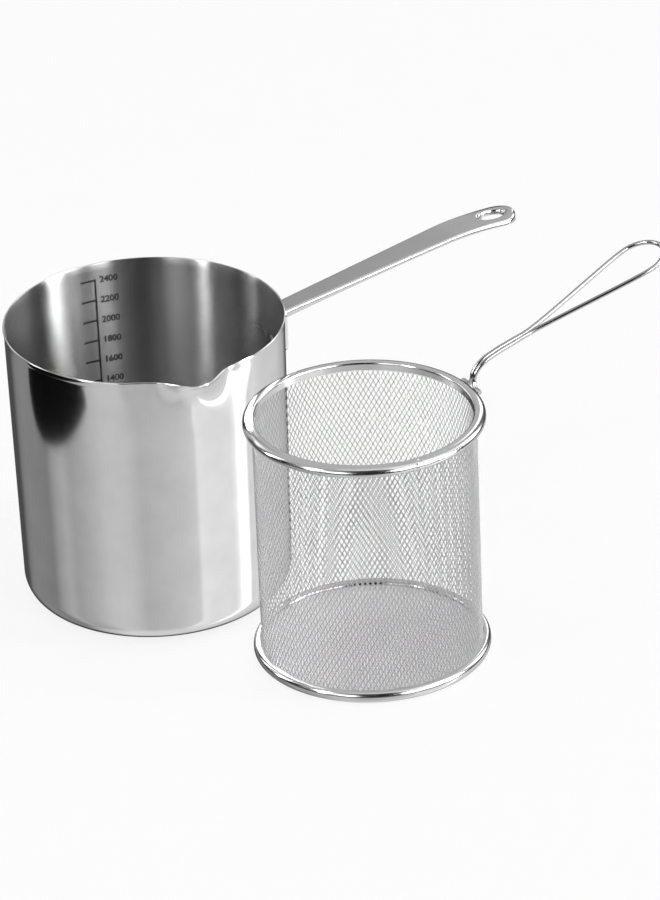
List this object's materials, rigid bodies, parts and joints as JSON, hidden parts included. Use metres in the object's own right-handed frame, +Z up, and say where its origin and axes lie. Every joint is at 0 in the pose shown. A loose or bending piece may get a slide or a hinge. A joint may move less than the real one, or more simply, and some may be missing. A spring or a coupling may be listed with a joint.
{
  "type": "deep fry pot with basket",
  "caption": "Deep steel frying pot with pouring spout and strap handle, beside its round wire mesh basket with rolled hoops and a looped wire handle",
  "frame": {"origin": "middle of the pot's underside, on the surface that the pot and the basket stand on", "axes": "+Z up, +X along the pot's handle, the basket on the -Y side"},
  "size_m": [0.3226, 0.2611, 0.1881],
  "materials": {
    "polished_steel": "bright drawn steel, faintly brushed inside",
    "brushed_steel": "brushed along the strap",
    "hoop_steel": "bright rolled strip",
    "wire_steel": "bright drawn wire",
    "mesh_steel": "fine woven wire, satin"
  },
  "bodies": {
    "pot": {"pot_shell": "polished_steel", "handle_bracket": "polished_steel", "pot_handle": "brushed_steel"},
    "basket": {"rim_band": "hoop_steel", "rim_core_wire": "wire_steel", "mesh_wall": "mesh_steel", "mesh_floor": "mesh_steel", "base_band": "hoop_steel", "base_core_wire": "wire_steel", "basket_handle": "wire_steel"}
  },
  "joints": [
    {"name": "basket_lift", "type": "slide", "parent": "pot", "child": "basket", "axis": [0, 0, 1], "range_m": [0, 0.2]}
  ]
}
